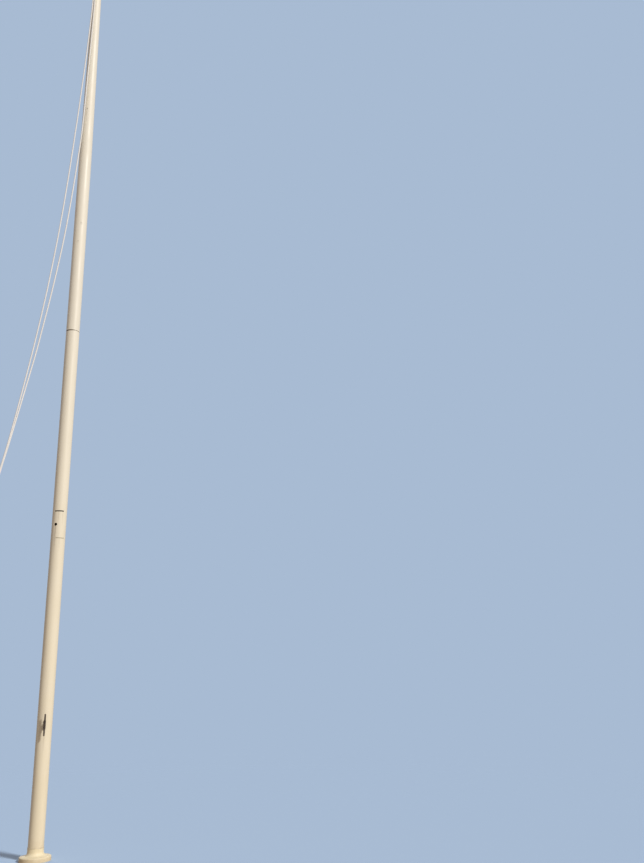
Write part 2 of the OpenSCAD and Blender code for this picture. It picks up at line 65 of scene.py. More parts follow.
def joinRings(shape, rings):
    # walls between each ring of corners and the next, and then every face of the shape looks outwards
    for ring, after in zip(rings, rings[1:]):
        for k in range(len(ring)):
            n = (k + 1) % len(ring)
            shape.faces.new((ring[k], ring[n], after[n], after[k]))
    bmesh.ops.recalc_face_normals(shape, faces=shape.faces)


def finishPiece(piece, material, nodeName):
    # a new mesh takes a CAD node's place; rope and twine have their material from their tree
    if material:
        piece.data.materials.clear()
        piece.data.materials.append(material)
    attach(piece, "root")
    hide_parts(nodeName)
    return piece


def dressNode(nodeName, material):
    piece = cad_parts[nodeName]
    for holder in piece.material_slots:
        holder.material = material


def bakeModifiers(piece):
    # the evaluated shape becomes a plain mesh, and no modifier is left on the piece
    graph = bpy.context.evaluated_depsgraph_get()
    mesh = bpy.data.meshes.new_from_object(piece.evaluated_get(graph), depsgraph=graph)
    mesh.name = piece.name
    name = piece.name
    bpy.data.objects.remove(piece)
    return addObject(name, mesh)


def mergedCopy(nodeName, pieceName):
    # a CAD node's mesh is loose triangles, so its copy is sewn up first
    sewn = bmesh.new()
    sewn.from_mesh(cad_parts[nodeName].data)
    bmesh.ops.remove_doubles(sewn, verts=sewn.verts, dist=sewGap)
    piece = meshObject(pieceName, sewn)
    layers = piece.data.attributes
    for name in [a.name for a in layers if a.name in ("custom_normal", "sharp_edge")]:
        layers.remove(layers[name])
    return piece


def castCopy(nodeName, form):
    # sand casting: the copy is remeshed on a fine grid and smoothed, which rounds its corners into fillets
    piece = mergedCopy(nodeName, nodeName + "_cast")
    remesh = piece.modifiers.new("grid", "REMESH")
    remesh.mode = "VOXEL"
    remesh.voxel_size = form["grid"]
    smooth = piece.modifiers.new("fillets", "SMOOTH")
    smooth.factor = 0.5
    smooth.iterations = form["rounds"]
    piece = bakeModifiers(piece)
    piece.data.shade_smooth()
    return piece


# Camera

camera = {
    "place": (0.0, -9.395, 1.598),
    "yaw": 18.12,  # degrees to the right of +Y
    "pitch": 17.07,  # degrees above the horizon
    "roll": -1.37,
    "focal": 821.0,  # in pixels of the photograph
    "longSide": 863.0,
    "sensor": 36.0,
    "near": 0.05,
    "far": 400.0,
}


def makeCamera(look):
    yaw, pitch, roll = (math.radians(look[k]) for k in ("yaw", "pitch", "roll"))
    ahead = Vector((math.sin(yaw) * math.cos(pitch), math.cos(yaw) * math.cos(pitch), math.sin(pitch)))
    right = Vector((math.cos(yaw), -math.sin(yaw), 0.0))
    above = right.cross(ahead)
    rolledRight = right * math.cos(roll) + above * math.sin(roll)
    rolledAbove = above * math.cos(roll) - right * math.sin(roll)
    turn = Matrix((rolledRight, rolledAbove, -ahead)).transposed().to_4x4()
    data = bpy.data.cameras.new("photoView")
    data.sensor_width = look["sensor"]
    data.lens = look["focal"] * look["sensor"] / look["longSide"]
    data.clip_start, data.clip_end = look["near"], look["far"]
    eye = addObject("photoView", data)
    eye.matrix_world = Matrix.Translation(look["place"]) @ turn
    bpy.context.scene.camera = eye


makeCamera(camera)
print("camera set")


# Nodes and node groups

def feed(tree, socket, value):
    # colours are given as red, green and blue
    if isinstance(value, bpy.types.NodeSocket):
        tree.links.new(value, socket)
    elif socket.type == "RGBA":
        socket.default_value = (*value, 1.0)
    else:
        socket.default_value = value


def place(tree, kind, inputs=(), **settings):
    # settings are the node's own, and inputs say what goes into a socket, by its name or number
    made = tree.nodes.new(kind)
    for name, value in settings.items():
        setattr(made, name, value)
    for label, value in dict(inputs).items():
        feed(tree, made.inputs[label], value)
    return made


def newGroup(name, inputs, outputs, kind="ShaderNodeTree"):
    # inputs and outputs give each socket's kind
    tree = bpy.data.node_groups.new(name, kind)
    for side, sockets in (("INPUT", inputs), ("OUTPUT", outputs)):
        for label, socketKind in sockets.items():
            tree.interface.new_socket(name=label, in_out=side, socket_type="NodeSocket" + socketKind)
    return tree, tree.nodes.new("NodeGroupInput").outputs, tree.nodes.new("NodeGroupOutput").inputs


def use(tree, group, inputs):
    return place(tree, "ShaderNodeGroup", inputs, node_tree=group).outputs


def calc(tree, operation, *values, clamp=False):
    return place(tree, "ShaderNodeMath", enumerate(values), operation=operation, use_clamp=clamp).outputs[0]


def times(tree, one, two):
    return calc(tree, "MULTIPLY", one, two)


def vector(tree, operation, *values):
    made = place(tree, "ShaderNodeVectorMath", enumerate(values), operation=operation)
    return made.outputs["Value" if operation in ("DOT_PRODUCT", "LENGTH") else "Vector"]


def heightOf(tree, where):
    return place(tree, "ShaderNodeSeparateXYZ", {0: where}).outputs["Z"]


def fromAxis(tree, where):
    # the distance from the pole's axis
    return vector(tree, "LENGTH", vector(tree, "MULTIPLY", where, (1.0, 1.0, 0.0)))


def grain(tree, where, scale, detail=3.0, rough=0.55):
    return place(tree, "ShaderNodeTexNoise",
        {"Vector": where, "Scale": scale, "Detail": detail, "Roughness": rough}).outputs[0]


def ramp(tree, value, low, high):
    # 0 at low, 1 at high, smooth between them
    return place(tree, "ShaderNodeMapRange", enumerate((value, low, high)),
        interpolation_type="SMOOTHSTEP").outputs[0]


def tint(tree, mask, under, over, share=1.0):
    # the second colour takes over where the mask is 1, up to its share
    return place(tree, "ShaderNodeMix", {0: times(tree, mask, share), 6: under, 7: over},
        data_type="RGBA").outputs[2]


def runTree(piece, tree, values):
    modifier = piece.modifiers.new(tree.name, "NODES")
    modifier.node_group = tree
    for item in tree.interface.items_tree:
        if item.in_out == "INPUT" and item.name in values:
            modifier[item.identifier] = values[item.name]
    return bakeModifiers(piece)


# Shader groups

def makeRainStreaks():
    # dirt that rain has drawn down an upright surface
    tree, given, out = newGroup("rainStreaks",
        {"Position": "Vector", "Across": "Float", "Along": "Float", "Cover": "Float"}, {"Mask": "Float"})
    across, along = given["Across"], given["Along"]
    stretch = place(tree, "ShaderNodeCombineXYZ", {"X": across, "Y": across, "Z": along})
    drawn = vector(tree, "MULTIPLY", given["Position"], stretch.outputs[0])
    fine = grain(tree, drawn, 1.0, 4.0, 0.6)
    patch = grain(tree, given["Position"], 1.7, 2.0)
    threshold = calc(tree, "SUBTRACT", 1.0, times(tree, given["Cover"], 0.8))
    feed(tree, out["Mask"], ramp(tree, calc(tree, "ADD", fine, times(tree, patch, 0.35)), threshold, 1.05))
    return tree


def makeNearGround():
    # splash and dust that thin out above the ground
    tree, given, out = newGroup("nearGround", {"Position": "Vector", "Height": "Float"}, {"Mask": "Float"})
    rise = calc(tree, "DIVIDE", heightOf(tree, given["Position"]), given["Height"])
    ragged = times(tree, grain(tree, given["Position"], 22.0, 5.0, 0.65), 0.9)
    level = calc(tree, "SUBTRACT", calc(tree, "ADD", rise, ragged), 0.45)
    feed(tree, out["Mask"], ramp(tree, level, 0.75, 0.0))
    return tree


def makeRunBelow():
    # a stain that runs down from a hole, on the side that Facing points to
    tree, given, out = newGroup("runBelow", {"Position": "Vector", "Facing": "Vector", "Top": "Float",
        "Length": "Float", "Half width": "Float"}, {"Mask": "Float"})
    here, facing = given["Position"], given["Facing"]
    beside = vector(tree, "DOT_PRODUCT", here, vector(tree, "CROSS_PRODUCT", facing, (0.0, 0.0, 1.0)))
    wavy = times(tree, calc(tree, "SUBTRACT", grain(tree, here, 30.0, 3.0), 0.5), 0.02)
    off = calc(tree, "ABSOLUTE", calc(tree, "ADD", beside, wavy))
    drop = calc(tree, "DIVIDE", calc(tree, "SUBTRACT", given["Top"], heightOf(tree, here)), given["Length"])
    narrow = ramp(tree, calc(tree, "DIVIDE", off, given["Half width"]), 1.0, 0.15)
    fading = times(tree, ramp(tree, drop, 1.0, 0.05), ramp(tree, drop, -0.02, 0.0))
    front = ramp(tree, vector(tree, "DOT_PRODUCT", here, facing), 0.0, 0.02)
    feed(tree, out["Mask"], times(tree, times(tree, narrow, fading), front))
    return tree


def makeJointGrime():
    # dirt along the joint of two sections, widest on the side that Facing points to
    tree, given, out = newGroup("jointGrime", {"Position": "Vector", "Facing": "Vector", "Height": "Float",
        "Narrow": "Float", "Wide": "Float"}, {"Mask": "Float"})
    here = given["Position"]
    turned = calc(tree, "DIVIDE", vector(tree, "DOT_PRODUCT", here, given["Facing"]), fromAxis(tree, here))
    ragged = times(tree, calc(tree, "SUBTRACT", grain(tree, here, 70.0, 4.0, 0.6), 0.5), 0.9)
    side = ramp(tree, calc(tree, "ADD", turned, ragged), 0.45, 0.95)
    more = times(tree, side, calc(tree, "SUBTRACT", given["Wide"], given["Narrow"]))
    half = calc(tree, "ADD", given["Narrow"], more)
    off = calc(tree, "ABSOLUTE", calc(tree, "SUBTRACT", heightOf(tree, here), given["Height"]))
    feed(tree, out["Mask"], ramp(tree, off, times(tree, half, 1.5), half))
    return tree


def makeEdgeWear():
    # edges rubbed bright, found by comparing the surface with a rounded one
    tree, given, out = newGroup("edgeWear",
        {"Position": "Vector", "Radius": "Float", "Breakup": "Float"}, {"Mask": "Float"})
    rounded = place(tree, "ShaderNodeBevel", {"Radius": given["Radius"]}, samples=6)
    surface = place(tree, "ShaderNodeNewGeometry")
    same = vector(tree, "DOT_PRODUCT", rounded.outputs[0], surface.outputs["Normal"])
    broken = ramp(tree, grain(tree, given["Position"], given["Breakup"], 4.0, 0.6), 0.38, 0.62)
    feed(tree, out["Mask"], times(tree, ramp(tree, same, 0.985, 0.80), broken))
    return tree


def makeTurnedRings():
    # tool marks of a lathe or a spinning chuck, round an axis through Centre
    tree, given, out = newGroup("turnedRings", {"Position": "Vector", "Centre": "Vector", "Axis": "Vector",
        "Rings per metre": "Float"}, {"Height": "Float"})
    arm = vector(tree, "SUBTRACT", given["Position"], given["Centre"])
    along = vector(tree, "DOT_PRODUCT", arm, given["Axis"])
    square = calc(tree, "SUBTRACT", calc(tree, "POWER", vector(tree, "LENGTH", arm), 2.0),
        calc(tree, "POWER", along, 2.0))
    away = calc(tree, "SQRT", calc(tree, "MAXIMUM", square, 0.0))
    pair = place(tree, "ShaderNodeCombineXYZ", {"X": calc(tree, "ADD", away, along)})
    feed(tree, out["Height"], grain(tree, pair.outputs[0], given["Rings per metre"], 2.0, 0.7))
    return tree


rainStreaks = makeRainStreaks()
nearGround = makeNearGround()
runBelow = makeRunBelow()
jointGrime = makeJointGrime()
edgeWear = makeEdgeWear()
turnedRings = makeTurnedRings()
print("shader groups built")


def newMaterial(name):
    material = bpy.data.materials.new(name)
    material.use_nodes = True
    tree = material.node_tree
    where = place(tree, "ShaderNodeTexCoord").outputs["Object"]
    return material, tree, tree.nodes["Principled BSDF"].inputs, where


def relief(tree, shader, height, strength, depth):
    bump = place(tree, "ShaderNodeBump", {"Height": height, "Strength": strength, "Distance": depth})
    feed(tree, shader["Normal"], bump.outputs[0])


# Pole sections: even tubes with their holes and scars cut in

lowerLow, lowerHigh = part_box("pole_lower_section")
upperLow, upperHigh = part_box("pole_upper_section")
tube = {
    "butt": lowerHigh.x,  # radius below the taper
    "top": 0.04445,  # radius at the top
    "wall": 0.0048,
    "taperStart": 8.001,
    "sides": 144,
    "ringStep": 0.06,
    "boreSides": 40,
    "boreDepth": 0.06,
    "boreMiddle": 0.065,  # from the pole's axis
    "crease": 35.0,  # degrees between faces, from which an edge stays sharp
}
# angles round the pole are in degrees from the front, and everything else is in metres
# round holes: angle, height, diameter
lowerHoles = [(-27.0, 3.330, 0.0320), (0.0, 1.227, 0.0070), (0.0, 1.297, 0.0070)]
upperHoles = [(-18.0, 8.744, 0.0130)] + [(40.0 + 120.0 * k, 12.1545, 0.0086) for k in range(3)]
# across and reach are sizes of the block that cuts the slot
slot = {"turn": -6.0, "z": 3.478, "width": 0.012, "sweep": 82.0, "across": 0.16, "reach": 0.03}
groove = {"turn": 16.0, "z": 3.180, "width": 0.010, "sweep": 72.0, "depth": 0.0016, "outside": 0.080,
    "steps": 60}


def facingAt(turnDegrees):
    # the direction that looks out of the pole at an angle round it
    turn = math.radians(turnDegrees)
    return (math.sin(turn), -math.cos(turn), 0.0)


def tubeRadius(z):
    share = max(0.0, (z - tube["taperStart"]) / (upperHigh.z - tube["taperStart"]))
    return tube["butt"] + share * (tube["top"] - tube["butt"])


def plainTube(name, bottom, top):
    # a closed wall between two heights: rings up the outside and down the bore
    count = round((top - bottom) / tube["ringStep"])
    heights = [bottom + (top - bottom) * i / count for i in range(count + 1)]
    if bottom < tube["taperStart"] < top:
        heights = sorted(heights + [tube["taperStart"]])
    profile = [(tubeRadius(z), z) for z in heights]
    profile += [(reach - tube["wall"], z) for reach, z in reversed(profile)]
    turns = [math.tau * k / tube["sides"] for k in range(tube["sides"])]
    made = bmesh.new()
    rings = [[made.verts.new((reach * math.sin(turn), -reach * math.cos(turn), z)) for turn in turns]
        for reach, z in profile]
    joinRings(made, rings + rings[:1])
    return meshObject(name, made)


def boreTool(turn, z, diameter):
    made = bmesh.new()
    bmesh.ops.create_cone(made, cap_ends=True, segments=tube["boreSides"], radius1=diameter / 2,
        radius2=diameter / 2, depth=tube["boreDepth"], matrix=Matrix.Rotation(math.radians(turn), 4, "Z")
        @ Matrix.Translation((0.0, -tube["boreMiddle"], z)) @ Matrix.Rotation(math.pi / 2, 4, "X"))
    return made


def slotTool(look):
    # a block whose inner face lies on the chord at which the saw stopped
    chord = tube["butt"] * math.cos(math.radians(look["sweep"] / 2))
    made = bmesh.new()
    bmesh.ops.create_cube(made, size=1.0, matrix=Matrix.Rotation(math.radians(look["turn"]), 4, "Z")
        @ Matrix.Translation((0.0, -chord - look["reach"] / 2, look["z"]))
        @ Matrix.Diagonal((look["across"], look["reach"], look["width"], 1.0)))
    return made


def grooveTool(look):
    inside, outside = tube["butt"] - look["depth"], look["outside"]
    low, high = look["z"] - look["width"] / 2, look["z"] + look["width"] / 2
    corners = ((inside, low), (outside, low), (outside, high), (inside, high))
    made = bmesh.new()
    loops = []
    for i in range(look["steps"] + 1):
        side = Vector(facingAt(look["turn"] + look["sweep"] * (i / look["steps"] - 0.5)))
        loops.append([made.verts.new(side * reach + Vector((0.0, 0.0, z))) for reach, z in corners])
    made.faces.new(loops[0])
    made.faces.new(reversed(loops[-1]))
    joinRings(made, loops)
    return made


def cutTube(piece, tools):
    for made in tools:
        cutter = meshObject("cutter", made)
        mesh = cutter.data
        cut = piece.modifiers.new("cut", "BOOLEAN")
        cut.operation, cut.solver, cut.object = "DIFFERENCE", "EXACT", cutter
        piece = bakeModifiers(piece)
        bpy.data.objects.remove(cutter)
        bpy.data.meshes.remove(mesh)
    piece.data.shade_smooth()
    piece.data.set_sharp_from_angle(angle=math.radians(tube["crease"]))
    return piece


lowerTube = cutTube(plainTube("pole_lower_tube", lowerLow.z, lowerHigh.z),
    [boreTool(*hole) for hole in lowerHoles] + [slotTool(slot), grooveTool(groove)])
upperTube = cutTube(plainTube("pole_upper_tube", upperLow.z, upperHigh.z),
    [boreTool(*hole) for hole in upperHoles])
print("pole tubes:", len(lowerTube.data.polygons), "and", len(upperTube.data.polygons), "faces")


# Enamel of the pole and the collar

enamelLook = {
    "low": (0.905, 0.820, 0.620),  # yellower near the ground, paler up to warmHeight
    "high": (0.925, 0.890, 0.780),
    "warmHeight": 7.0,
    "chalk": (0.930, 0.885, 0.760),
    "chalkShare": 0.35,
    "grime": (0.420, 0.350, 0.250),
    "streakShare": 0.10,
    "speckShare": 0.30,
    "dust": (0.640, 0.520, 0.340),
    "dustHeight": 0.35,
    "dustShare": 0.45,
    "chip": (0.330, 0.300, 0.250),
    "chipShare": 0.80,
    "stain": (0.150, 0.100, 0.055),
    "rough": 0.42,
    "chalkRough": 0.16,  # what chalking and dust add
    "dustRough": 0.25,
}
collarLook = dict(enamelLook, low=(0.900, 0.800, 0.560), chalk=(0.915, 0.845, 0.660), streakShare=0.14,
    dustHeight=0.085, dustShare=0.50)
# dirt in the joint: the side that it is widest on, and half its height there and on the other side
joint = {"turn": -38.0, "z": (lowerHigh.z + upperLow.z) / 2, "narrow": 0.0025, "wide": 0.0062, "share": 0.85}
# what a cut through the enamel shows, inside a radius from the pole's axis and fading in below it: bare metal
# at the cut's edge, then painted shade, a near black for the inside of the slots, the holes and the bore
bareMetalAndPaintedShade = [
    {"radius": 0.0757, "fade": 0.0006, "color": (0.560, 0.520, 0.400)},
    # painted shade: the inside of the slots, the holes and the bore drawn near black, as a deep recess looks
    {"radius": 0.0740, "fade": 0.0010, "color": (0.050, 0.032, 0.018)},
]
# stains that run down from the marks
slotFoot = slot["z"] - slot["width"] / 2
grooveFoot = groove["z"] - groove["width"] / 2
poleRuns = {
    "cableHole": {"turn": -27.0, "top": 3.318, "length": 0.40, "halfWidth": 0.013, "share": 0.30},
    "slotLeft": {"turn": -42.0, "top": slotFoot, "length": 0.13, "halfWidth": 0.006, "share": 0.20},
    "slotMiddle": {"turn": -9.0, "top": slotFoot, "length": 0.17, "halfWidth": 0.010, "share": 0.16},
    "slotRight": {"turn": 26.0, "top": slotFoot, "length": 0.20, "halfWidth": 0.006, "share": 0.18},
    "groove": {"turn": 12.0, "top": grooveFoot, "length": 0.16, "halfWidth": 0.014, "share": 0.10},
    "cleatFoot": {"turn": 0.0, "top": 1.216, "length": 0.30, "halfWidth": 0.010, "share": 0.22},
    "cleatHead": {"turn": 0.0, "top": 1.322, "length": 0.05, "halfWidth": 0.012, "share": 0.30},
}
upperRuns = {
    "smallHole": {"turn": -18.0, "top": 8.738, "length": 0.26, "halfWidth": 0.007, "share": 0.30},
    "upperScuff": {"turn": 6.0, "top": 7.085, "length": 0.06, "halfWidth": 0.020, "share": 0.22},
    "lowerScuff": {"turn": -14.0, "top": 6.830, "length": 0.05, "halfWidth": 0.018, "share": 0.18},
}


def enamel(name, look, runs=(), seam=None, layers=()):
    material, tree, shader, where = newMaterial(name)
    color = tint(tree, ramp(tree, heightOf(tree, where), 0.0, look["warmHeight"]), look["low"], look["high"])
    faded = ramp(tree, grain(tree, where, 2.2), 0.40, 0.68)
    color = tint(tree, faded, color, look["chalk"], look["chalkShare"])
    streak = use(tree, rainStreaks, {"Position": where, "Across": 34.0, "Along": 2.6, "Cover": 0.5})["Mask"]
    color = tint(tree, streak, color, look["grime"], look["streakShare"])
    speck = ramp(tree, grain(tree, where, 240.0, 2.0), 0.72, 0.78)
    color = tint(tree, speck, color, look["grime"], look["speckShare"])
    splash = use(tree, nearGround, {"Position": where, "Height": look["dustHeight"]})["Mask"]
    color = tint(tree, splash, color, look["dust"], look["dustShare"])
    flake = times(tree, ramp(tree, grain(tree, where, 95.0, 5.0, 0.7), 0.735, 0.75),
        ramp(tree, grain(tree, where, 3.1, 2.0), 0.50, 0.62))
    color = tint(tree, flake, color, look["chip"], look["chipShare"])
    for run in runs:
        mask = use(tree, runBelow, {"Position": where, "Facing": facingAt(run["turn"]), "Top": run["top"],
            "Length": run["length"], "Half width": run["halfWidth"]})["Mask"]
        color = tint(tree, mask, color, look["stain"], run["share"])
    if seam:
        mask = use(tree, jointGrime, {"Position": where, "Facing": facingAt(seam["turn"]),
            "Height": seam["z"], "Narrow": seam["narrow"], "Wide": seam["wide"]})["Mask"]
        color = tint(tree, mask, color, look["stain"], seam["share"])
    # bare metal at each cut's edge, and painted shade deeper in the cuts and the bore
    for layer in layers:
        inside = ramp(tree, fromAxis(tree, where), layer["radius"], layer["radius"] - layer["fade"])
        color = tint(tree, inside, color, layer["color"])
    feed(tree, shader["Base Color"], color)
    worn = calc(tree, "ADD", times(tree, faded, look["chalkRough"]), times(tree, splash, look["dustRough"]))
    feed(tree, shader["Roughness"], calc(tree, "ADD", worn, look["rough"], clamp=True))
    relief(tree, shader, calc(tree, "SUBTRACT", grain(tree, where, 420.0, 2.0, 0.5), flake), 0.35, 0.0004)
    feed(tree, shader["Specular IOR Level"], 0.4)
    return material


lowerEnamel = enamel("lowerEnamel", enamelLook, poleRuns.values(), joint, bareMetalAndPaintedShade)
upperEnamel = enamel("upperEnamel", enamelLook, upperRuns.values(), joint)
finishPiece(lowerTube, lowerEnamel, "pole_lower_section")
finishPiece(upperTube, upperEnamel, "pole_upper_section")
dressNode("flash_collar", enamel("collarEnamel", collarLook))
print("pole and collar finished")


# Metals and castings

def dullMetal(name, look):
    # bare metal: oxide in patches, marks of the lathe where it has an axis, edges rubbed bright
    material, tree, shader, where = newMaterial(name)
    patch = ramp(tree, grain(tree, where, look["patches"], 5.0, 0.62), 0.36, 0.66)
    color = tint(tree, patch, look["color"], look["oxideColor"], look["oxide"])
    streak = use(tree, rainStreaks, {"Position": where, "Across": 160.0, "Along": 14.0, "Cover": 0.6})["Mask"]
    color = tint(tree, streak, color, look["oxideColor"], 0.35)
    height = grain(tree, where, look["grains"], 4.0, 0.6)
    if "axis" in look:
        rings = use(tree, turnedRings, {"Position": where, "Centre": look["centre"], "Axis": look["axis"],
            "Rings per metre": 900.0})["Height"]
        height = calc(tree, "ADD", times(tree, rings, 0.8), times(tree, height, 0.3))
    if "edgeRadius" in look:
        rubbed = use(tree, edgeWear, {"Position": where, "Radius": look["edgeRadius"], "Breakup": 90.0})
        color = tint(tree, rubbed["Mask"], color, look["brightColor"], 0.7)
    feed(tree, shader["Base Color"], color)
    feed(tree, shader["Roughness"], calc(tree, "ADD", times(tree, patch, 0.22), look["rough"], clamp=True))
    relief(tree, shader, height, look["relief"], look["depth"])
    feed(tree, shader["Metallic"], look["metallic"])
    return material


# the truck's sheave: the side of the pole that it stands on, its pin's distance from the axis and height,
# and the radius of the rope's bend over it
sheave = {"turn": -20.0, "reach": 0.098, "height": 12.216, "ropeRadius": 0.032}
outward = Vector(facingAt(sheave["turn"]))
pinAxis = Vector((-outward.y, outward.x, 0.0))


def sheavePoint(reach):
    # at the pin's height, and this far out of the pole's axis
    return outward * reach + Vector((0.0, 0.0, sheave["height"]))


pinPlace = sheavePoint(sheave["reach"])
outerStart = sheavePoint(sheave["reach"] + sheave["ropeRadius"])
innerStart = sheavePoint(sheave["reach"] - sheave["ropeRadius"])

metalLooks = {
    "castIron": {"color": (0.055, 0.043, 0.034), "oxideColor": (0.120, 0.065, 0.035), "oxide": 0.55,
        "patches": 45.0, "grains": 700.0, "rough": 0.52, "relief": 0.5, "depth": 0.0006, "metallic": 0.35,
        "edgeRadius": 0.0025, "brightColor": (0.210, 0.180, 0.150)},
    "sandCast": {"color": (0.430, 0.425, 0.410), "oxideColor": (0.250, 0.240, 0.215), "oxide": 0.6,
        "patches": 30.0, "grains": 900.0, "rough": 0.48, "relief": 0.55, "depth": 0.0005, "metallic": 0.75,
        "edgeRadius": 0.0022, "brightColor": (0.640, 0.635, 0.620)},
    "turnedSheave": {"color": (0.520, 0.515, 0.500), "oxideColor": (0.330, 0.310, 0.270), "oxide": 0.4,
        "patches": 55.0, "grains": 900.0, "rough": 0.33, "relief": 0.4, "depth": 0.0003, "metallic": 0.9,
        "centre": tuple(pinPlace), "axis": tuple(pinAxis)},
    "pinSteel": {"color": (0.470, 0.460, 0.440), "oxideColor": (0.290, 0.220, 0.160), "oxide": 0.35,
        "patches": 80.0, "grains": 1100.0, "rough": 0.30, "relief": 0.3, "depth": 0.0002, "metallic": 0.95},
    "screwSteel": {"color": (0.300, 0.270, 0.235), "oxideColor": (0.190, 0.100, 0.055), "oxide": 0.6,
        "patches": 120.0, "grains": 1100.0, "rough": 0.42, "relief": 0.4, "depth": 0.0003, "metallic": 0.8},
    "bareTube": {"color": (0.360, 0.345, 0.315), "oxideColor": (0.200, 0.175, 0.140), "oxide": 0.6,
        "patches": 20.0, "grains": 500.0, "rough": 0.45, "relief": 0.3, "depth": 0.0003, "metallic": 0.8},
    "goldSpun": {"color": (0.740, 0.500, 0.170), "oxideColor": (0.500, 0.345, 0.140), "oxide": 0.35,
        "patches": 14.0, "grains": 300.0, "rough": 0.24, "relief": 0.22, "depth": 0.0002, "metallic": 0.95,
        "centre": (0.0, 0.0, 0.0), "axis": (0.0, 0.0, 1.0)},
    "castBronze": {"color": (0.420, 0.275, 0.110), "oxideColor": (0.160, 0.125, 0.070), "oxide": 0.6,
        "patches": 90.0, "grains": 1200.0, "rough": 0.36, "relief": 0.4, "depth": 0.0003, "metallic": 0.9,
        "edgeRadius": 0.0012, "brightColor": (0.680, 0.480, 0.230)},
}
metals = {name: dullMetal(name, look) for name, look in metalLooks.items()}

for nodeName, slotName, metalName in (
        ("splice_sleeve", "bare_tube", "bareTube"),
        ("cleat_screws", "screw_steel", "screwSteel"),
        ("truck_set_screws", "screw_steel", "screwSteel"),
        ("sheave", "sheave_metal", "turnedSheave"),
        ("sheave_pin", "pin_steel", "pinSteel"),
        ("sheave_cotter", "pin_steel", "pinSteel"),
        ("finial_rod", "pin_steel", "pinSteel"),
        ("finial_locknut", "pin_steel", "pinSteel"),
        ("ball_socket", "ball_metal", "goldSpun"),
        ("ball_finial", "ball_metal", "goldSpun")):
    dressNode(nodeName, metals[metalName])

castings = {
    "cleat": {"slot": "cleat_cast", "metal": "castIron", "grid": 0.0009, "rounds": 7},
    "truck_cap": {"slot": "truck_cast", "metal": "sandCast", "grid": 0.0009, "rounds": 14},
    "outer_snap": {"slot": "snap_bronze", "metal": "castBronze", "grid": 0.0005, "rounds": 5},
    "inner_snap": {"slot": "snap_bronze", "metal": "castBronze", "grid": 0.0005, "rounds": 5},
    "outer_swivel": {"slot": "snap_bronze", "metal": "castBronze", "grid": 0.0005, "rounds": 4},
    "inner_swivel": {"slot": "snap_bronze", "metal": "castBronze", "grid": 0.0005, "rounds": 4},
}
for nodeName, form in castings.items():
    piece = castCopy(nodeName, form)
    finishPiece(piece, metals[form["metal"]], nodeName)
for nodeName in ("outer_gate", "inner_gate"):
    dressNode(nodeName, metals["castBronze"])
print("castings and metal pieces finished")


# Bead of sealant on the collar's neck

bead = {"ring": 160, "across": 9, "rise": 0.0044, "run": 0.0043, "gap": 0.0002}
sealantLook = {"pale": (0.760, 0.680, 0.510), "dark": (0.480, 0.410, 0.300), "rough": 0.62}


def makeBead(look):
    # a quarter round in section, pressed lumpy by hand
    low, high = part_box("collar_sealant")
    inner = high.x - look["run"] - look["gap"]
    made = bmesh.new()
    loops = []
    for i in range(look["ring"]):
        turn = math.tau * i / look["ring"]
        side = Vector((math.cos(turn), math.sin(turn), 0.0))
        swell = 1 + 0.10 * noise.noise(side * 2.6) + 0.06 * noise.noise(side * 11.0)
        section = []
        for k in range(look["across"]):
            bend = math.pi / 2 * k / (look["across"] - 1)
            lump = 1 + 0.05 * noise.noise(side * 30.0 + Vector((0.0, 0.0, k * 0.4)))
            full = min(1.0, swell * lump)
            out, up = look["run"] * math.cos(bend) * full, look["rise"] * math.sin(bend) * full
            section.append((inner + out, up))
        section.append((inner, 0.0))
        loops.append([made.verts.new(side * reach + Vector((0.0, 0.0, low.z + up))) for reach, up in section])
    joinRings(made, loops + loops[:1])
    piece = meshObject("sealant_bead", made)
    piece.data.shade_smooth()
    return piece


def sealant(look):
    material, tree, shader, where = newMaterial("sealant")
    patch = ramp(tree, grain(tree, where, 60.0, 4.0, 0.6), 0.35, 0.70)
    feed(tree, shader["Base Color"], tint(tree, patch, look["pale"], look["dark"]))
    relief(tree, shader, grain(tree, where, 500.0), 0.4, 0.0004)
    feed(tree, shader["Roughness"], look["rough"])
    return material


finishPiece(makeBead(bead), sealant(sealantLook), "collar_sealant")
print("sealant bead laid")


# Halyard: the braided rope, its eyes and its whippings

rope = {
    "diameter": 0.016,
    "sides": 24,
    "ringSpacing": 0.0030,
    "crowns": 8.0,  # bumps of the braid round the rope
    "crownLength": 0.0120,
    "relief": 0.00035,
}
# finer where the rope is seen close up; the half turn over the sheave is eight crowns long
turnRope = dict(rope, sides=48, ringSpacing=0.0012, relief=0.0005,
    crownLength=math.pi * sheave["ropeRadius"] / 8)
eyeRope = dict(rope, sides=48, ringSpacing=0.0010, relief=0.0006, diameter=0.0155)
ropeLook = {
    "white": (0.955, 0.958, 0.960),
    "paintedValleyShade": (0.600, 0.595, 0.580),
    "paintedValleyShadeShare": 0.40,
    "soil": (0.640, 0.610, 0.540),
    "soilShare": 0.08,
    "fibre": (0.980, 0.980, 0.980),
    "fibreShare": 0.18,
    "yarns": 3.0,  # in each strand of the braid
    "relief": 0.0009,
    "rough": 0.78,
    "sheen": 0.15,
}
ending = {
    "tuck": 0.004,  # how far the rope goes on inside the whipping
    "whipLength": 0.036,
    "whipRadius": 0.0092,
    "twine": 0.0013,
    "turns": 26.0,
    "eyeRadius": 0.0150,
    "eyeGap": 0.0003,
    "eyeFrom": -32.0,  # degrees, and the sweep of the round part of the eye
    "eyeSweep": 244.0,
    # points of each leg: out and up from the whipping's end, and the share of the rope's width
    "legs": ((0.0040, 0.0050, 0.50), (0.0046, -0.0005, 0.56), (0.0078, -0.0040, 0.76)),
    "joinWidth": 0.90,  # share of width where the round part meets the legs, and how much each step adds
    "widen": 0.02,
}
routeSteps = 14  # points of the smooth line to each span of a route
bendSteps = 40  # spans round the sheave, and round each eye
turnTail = 0.003  # how far the turn goes down into both falls

